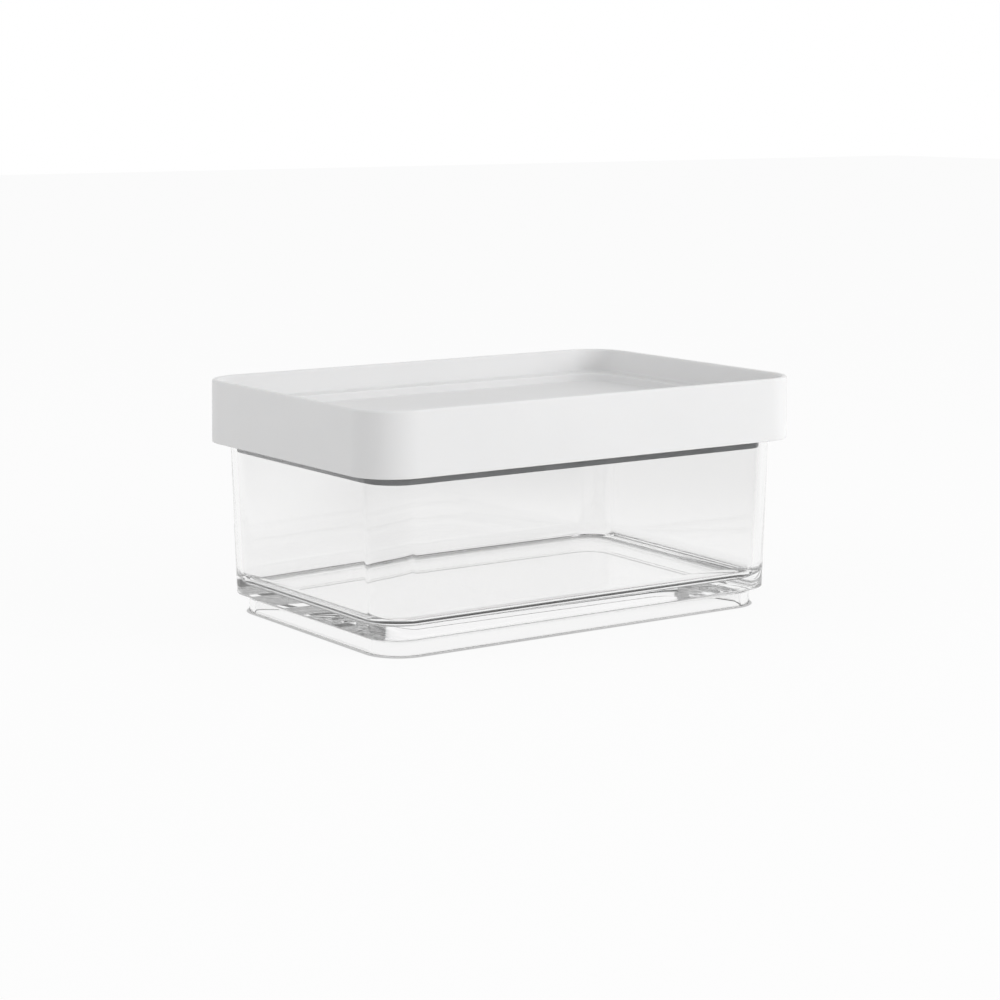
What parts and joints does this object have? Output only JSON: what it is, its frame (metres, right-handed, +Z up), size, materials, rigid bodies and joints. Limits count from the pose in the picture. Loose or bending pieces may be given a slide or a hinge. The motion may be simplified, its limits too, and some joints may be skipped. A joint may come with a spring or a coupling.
{
  "type": "stackable storage box with lid",
  "caption": "Clear rectangular storage box with tapered walls and a stacking foot, and a lift-off opaque lid whose tray seats the foot of another box.",
  "frame": {"origin": "centre of the foot's lower face, on the surface that the box stands on", "axes": "+X along the length, +Y along the width, +Z up through the lid"},
  "size_m": [0.175, 0.118, 0.0807],
  "materials": {
    "clear_plastic": "clear rigid styrene plastic, polished",
    "white_plastic": "opaque white moulded plastic, satin",
    "soft_seal": "soft translucent grey elastomer, matt"
  },
  "bodies": {
    "container": {"container": "clear_plastic"},
    "lid": {"lid": "white_plastic", "seal_ring": "soft_seal"}
  },
  "joints": [
    {"name": "lid_lift", "type": "slide", "parent": "container", "child": "lid", "axis": [0, 0, 1], "range_m": [0, 0.065]}
  ]
}
